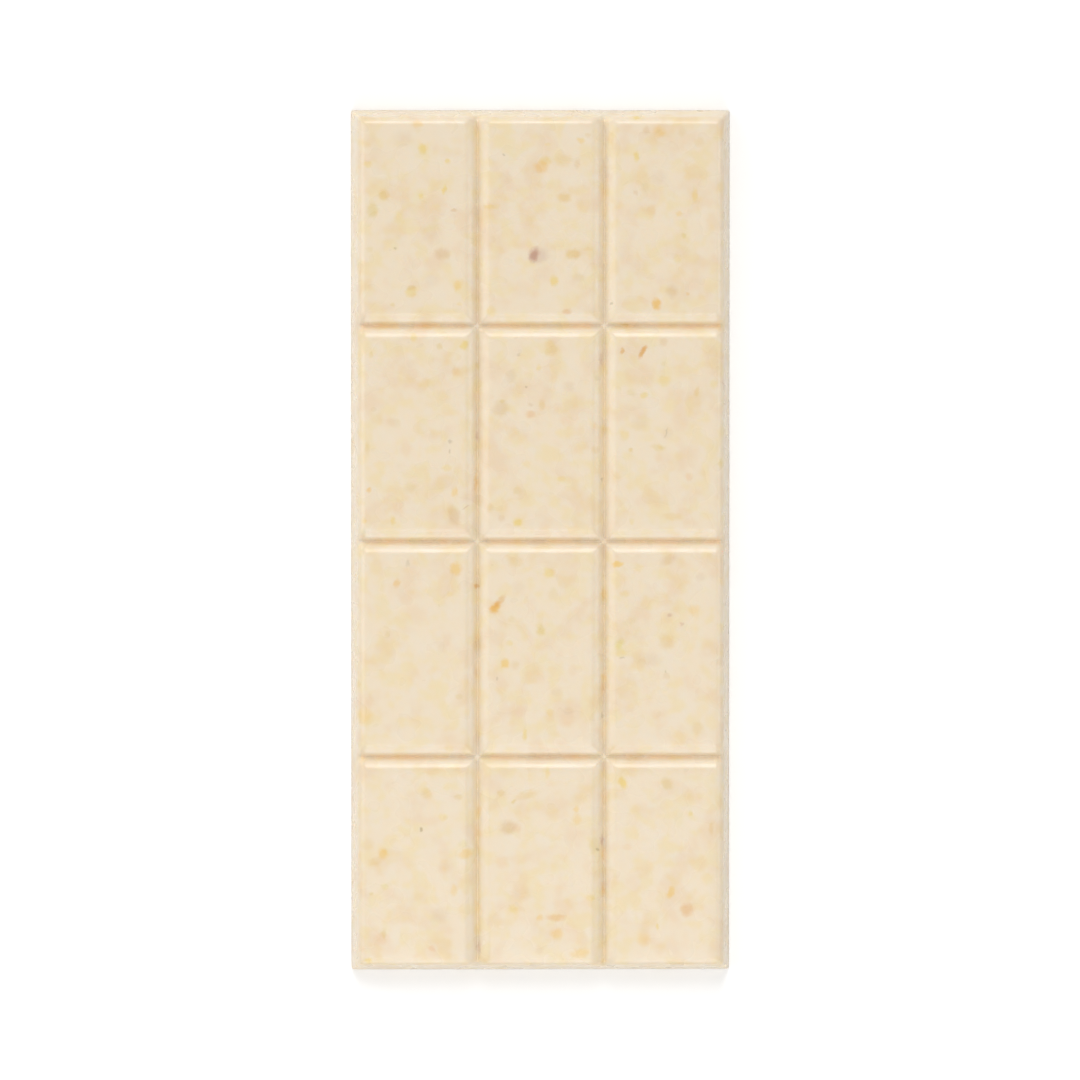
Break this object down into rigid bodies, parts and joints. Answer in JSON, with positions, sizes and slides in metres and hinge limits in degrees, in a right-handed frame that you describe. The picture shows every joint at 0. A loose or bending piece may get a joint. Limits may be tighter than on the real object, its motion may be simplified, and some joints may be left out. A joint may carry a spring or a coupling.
{
  "type": "moulded white chocolate bar",
  "caption": "Unwrapped flat bar of white chocolate, with tapering walls and a front parted by grooves into equal segments that snap apart.",
  "frame": {"origin": "middle of the flat back that the bar lies on", "axes": "+X across the bar to the right of its front, +Y along its length to the top of its front, +Z out of the front face"},
  "size_m": [0.0704, 0.16, 0.0075],
  "materials": {
    "white_chocolate": "satin ivory chocolate with fine yellow, orange and tan flecks"
  },
  "bodies": {
    "root": {"chocolate_bar": "white_chocolate"}
  },
  "joints": []
}
